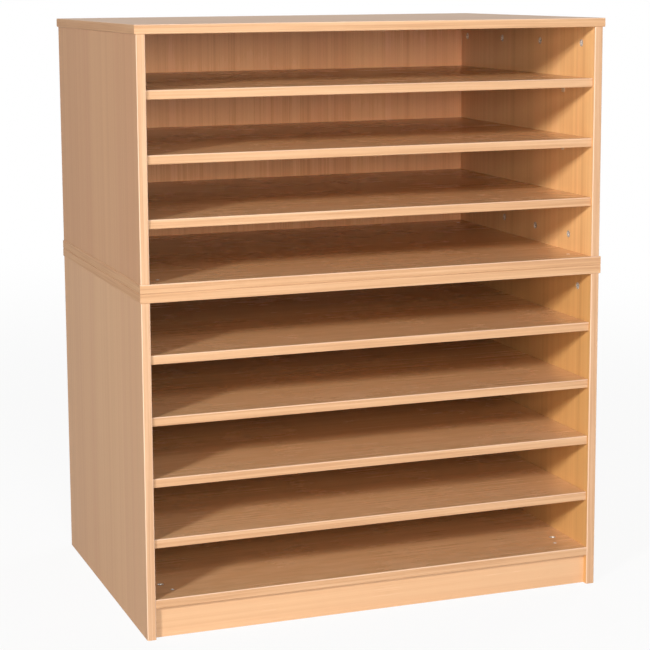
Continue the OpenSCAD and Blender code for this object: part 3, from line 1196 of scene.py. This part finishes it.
@dataclass(frozen=True)
class Dowel:
    """Fluted wooden dowel with chamfered ends, in millimetres."""

    radius: float = 4.0
    chamfer: float = 0.8
    flute: float = 0.25
    sides: int = 44

    def draw(self, length: float) -> Mesh:
        """Draws one dowel.

        Args:
            length: Its length.

        Returns:
            Its mesh.
        """
        end = self.radius - self.chamfer
        return turned([(0, end), (self.chamfer, self.radius), (length - self.chamfer, self.radius),
                       (length, end)], self.sides, self.flute)

    def build(self, unit: str, finishes: Finishes) -> None:
        """Makes a unit's dowels.

        Args:
            unit: Either upper or lower.
            finishes: Finishes of the rack.
        """
        node = f"{unit}_dowels"
        places = []
        length = 0.0
        for low, high in solids(node):
            size = high - low
            run = max(Axis, key=lambda axis: size[axis.value])
            length = size[run.value] / MM
            into, along = run.way(), Axis((run.value + 1) % 3).way()
            places.append(seat((low + high) / 2 - into * size[run.value] / 2, along, into))
        set_out(f"{unit}_fluted_dowels", node, self.draw(length), places, finishes.wood)


@dataclass(frozen=True)
class Screw:
    """Countersunk wood screw with a cross recess, in millimetres.

    Its head's face is at z = 0. The ends are depths below it, and the rim gives
    depths and how far the head is drawn in there.
    """

    head: float = 4.0
    rim: Tuple[Pair, ...] = ((0.25, 0.05), (0.0, 0.15))
    head_end: float = 2.0
    plain: float = 1.9
    plain_end: float = 4.0
    run_out_end: float = 4.6
    thread_end: float = 5.0
    crest: float = 2.0
    root: float = 1.35
    pitch: float = 2.0
    tip: float = 3.5
    tip_radius: float = 0.15
    tip_gap: float = 0.2
    recess_length: float = 3.0
    recess_width: float = 0.75
    recess_depth: float = 1.7
    recess_spread: float = 1.6
    spare: float = 0.4

    def draw(self, length: float) -> Mesh:
        """Draws one screw.

        Args:
            length: Its length.

        Returns:
            Its mesh.
        """
        profile = [(-length, self.tip_radius), (self.tip - length, self.root)]
        profile += thread(self.tip - length + self.tip_gap, -self.thread_end, self.pitch,
                          self.root, self.crest)
        profile += [(-self.run_out_end, self.root), (-self.plain_end, self.plain),
                    (-self.head_end, self.crest)]
        profile += [(-depth, self.head - inset) for depth, inset in self.rim]
        recess = prism(cross(self.recess_length, self.recess_width, 0), -self.recess_depth,
                       self.spare, self.recess_spread)
        return carve(turned(profile), [recess])

    def build(self, kind: str, finishes: Finishes) -> None:
        """Makes the screws of one node.

        Args:
            kind: The node.
            finishes: Finishes of the rack.
        """
        boxes = solids(kind)
        places = [seat(Vector(((low.x + high.x) / 2, (low.y + high.y) / 2, high.z)),
                       Axis.ACROSS.way(), Axis.UP.way()) for low, high in boxes]
        low, high = boxes[0]
        set_out(f"threaded_{kind}", kind, self.draw((high - low).z / MM), places,
                finishes.screw)


@dataclass(frozen=True)
class Fittings:
    """Cams, bolts, dowels and screws that hold the boards together."""

    rows: Tuple[CamRow, ...] = (CamRow("upper_top", Axis.ACROSS, Axis.UP),
                                CamRow("upper_base", Axis.ACROSS, Axis.UP, True),
                                CamRow("upper_back", Axis.DEEP, Axis.ACROSS),
                                CamRow("lower_top", Axis.ACROSS, Axis.UP),
                                CamRow("bottom_panel", Axis.UP, Axis.ACROSS),
                                CamRow("lower_back", Axis.DEEP, Axis.ACROSS))

    def build(self, finishes: Finishes) -> None:
        """Makes every fitting.

        Args:
            finishes: Finishes of the rack.
        """
        for row in self.rows:
            row.build(Cam(), CamBolt(), finishes)
        for unit in ("upper", "lower"):
            Dowel().build(unit, finishes)
        for kind in ("connector_screws", "corner_block_screws"):
            Screw().build(kind, finishes)


@dataclass(frozen=True)
class PhotoCamera:
    """Camera of the reference picture, found from the rack's straight edges."""

    place: Point = (-1.358741, -3.664677, 1.267206)
    yaw: float = -0.34716
    pitch: float = -0.14793
    roll: float = -0.00652
    focal_px: float = 1842.895
    centre_px: Pair = (307.644, 255.280)
    frame_px: float = 650.0
    film: float = 36.0
    sight: float = 400.0

    def build(self) -> None:
        """Sets up the camera."""
        lens = bpy.data.cameras.new("camera")
        lens.sensor_fit = "HORIZONTAL"
        lens.sensor_width = self.film
        lens.lens = self.focal_px * self.film / self.frame_px
        lens.shift_x = 0.5 - self.centre_px[0] / self.frame_px
        lens.shift_y = self.centre_px[1] / self.frame_px - 0.5
        lens.clip_end = self.sight
        camera = placed("camera", lens)
        ahead = Vector((-math.sin(self.yaw), math.cos(self.yaw), 0))
        level = Vector((math.cos(self.yaw), math.sin(self.yaw), 0))
        upright = Axis.UP.way()
        view = ahead * math.cos(self.pitch) + upright * math.sin(self.pitch)
        top = upright * math.cos(self.pitch) - ahead * math.sin(self.pitch)
        right = level * math.cos(self.roll) + top * math.sin(self.roll)
        up = top * math.cos(self.roll) - level * math.sin(self.roll)
        turn = Matrix((right, up, -view)).transposed()
        camera.matrix_world = Matrix.Translation(self.place) @ turn.to_4x4()
        bpy.context.scene.camera = camera


@dataclass(frozen=True)
class Lamp:
    """A soft lamp that points at the rack."""

    name: str
    place: Point
    width: float
    height: float
    watts: float
    mirrored: bool = True

    def build(self, target: Vector) -> None:
        """Hangs the lamp.

        Args:
            target: Point that it is aimed at.
        """
        light = bpy.data.lights.new(self.name, "AREA")
        light.shape = "RECTANGLE"
        light.size = self.width
        light.size_y = self.height
        light.energy = self.watts
        lamp = placed(self.name, light)
        lamp.visible_glossy = self.mirrored
        lamp.location = self.place
        lamp.rotation_euler = (target - Vector(self.place)).to_track_quat("-Z", "Y").to_euler()


@dataclass(frozen=True)
class Studio:
    """White room with a pale floor: three lamps in front, one above and one behind."""

    key: Lamp = Lamp("key_lamp", (-6.86, -5.59, 3.58), 1.0, 1.0, 623.3)
    high: Lamp = Lamp("high_lamp", (-1.2, -4.05, 2.73), 0.7, 0.7, 38.0)
    low: Lamp = Lamp("low_lamp", (-0.9, -4.5, 1.45), 0.9, 0.9, 97.0)
    over: Lamp = Lamp("over_lamp", (0.2, 0.4, 3.0), 1.2, 0.6, 13.0)
    rear: Lamp = Lamp("rear_lamp", (5.2, 3.6, 1.2), 1.8, 1.8, 260.0, False)
    fill: float = 0.02
    floor_side: float = 300.0
    floor_colour: Colour = paint(236, 235, 233)
    floor_rough: float = 0.9
    floor_glow: float = 0.91
    floor_near: float = 1.5
    floor_far: float = 5.0
    aim: Point = (0.0, -0.2, 0.6)

    def build(self) -> None:
        """Lights the rack and lays the floor."""
        for lamp in (self.key, self.high, self.low, self.over, self.rear):
            lamp.build(Vector(self.aim))
        self.light_room()
        self.lay_floor()
        bpy.context.scene.view_settings.view_transform = "Standard"

    def light_room(self) -> None:
        """Fills the room with even light, and shows it white."""
        room = bpy.data.worlds.new("room")
        bpy.context.scene.world = room
        sheet = Recipe(room, "Background")
        sheet.give("Color", WHITE)
        sheet.give("Strength", sheet.span(self.direct_sight(sheet), 0.0, 1.0, self.fill, 1.0))

    @staticmethod
    def direct_sight(sheet: Recipe) -> Socket:
        """Finds the rays that see the background itself.

        Args:
            sheet: Node tree of the room or of the floor.

        Returns:
            1 for rays from the camera, straight or by way of gloss and glass, and 0
            for those that light a matt surface.
        """
        rays = sheet.tree.nodes.new("ShaderNodeLightPath").outputs
        mirrored = sheet.combine("MAXIMUM", rays["Is Glossy Ray"], rays["Is Transmission Ray"])
        clear = sheet.combine("LESS_THAN", rays["Diffuse Depth"], 0.5)
        mirrored = sheet.combine("MULTIPLY", mirrored, clear)
        return sheet.combine("MAXIMUM", rays["Is Camera Ray"], mirrored)

    def lay_floor(self) -> None:
        """Lays the pale floor, which shows white but keeps the rack's shadow near it."""
        bpy.ops.mesh.primitive_plane_add(size=self.floor_side)
        floor = bpy.context.object
        floor.name = "floor"
        material = bpy.data.materials.new("floor")
        sheet = Recipe(material)
        sheet.give("Base Color", self.floor_colour)
        sheet.give("Roughness", self.floor_rough)
        glow = sheet.node("ShaderNodeEmission", {"Color": WHITE, "Strength": 1.0})
        away = sheet.node("ShaderNodeVectorMath", {0: sheet.place}, "Value", operation="LENGTH")
        level = sheet.span(away, self.floor_near, self.floor_far, self.floor_glow, 1.0)
        share = sheet.combine("MULTIPLY", self.direct_sight(sheet), level)
        mixed = sheet.node("ShaderNodeMixShader", {0: share, 1: sheet.shader.outputs[0], 2: glow})
        sheet.tree.links.new(mixed, sheet.tree.nodes["Material Output"].inputs["Surface"])
        floor.data.materials.append(material)


def main() -> None:
    """Dresses the rack and sets up the studio."""
    logging.basicConfig(level=logging.INFO, format="%(name)s: %(message)s")
    PhotoCamera().build()
    finishes = Finishes()
    Carcass().dress(finishes)
    for number in range(1, SHELVES + 1):
        LooseShelf(number).build(finishes)
    Fittings().build(finishes)
    Studio().build()


if __name__ == "__main__":
    main()
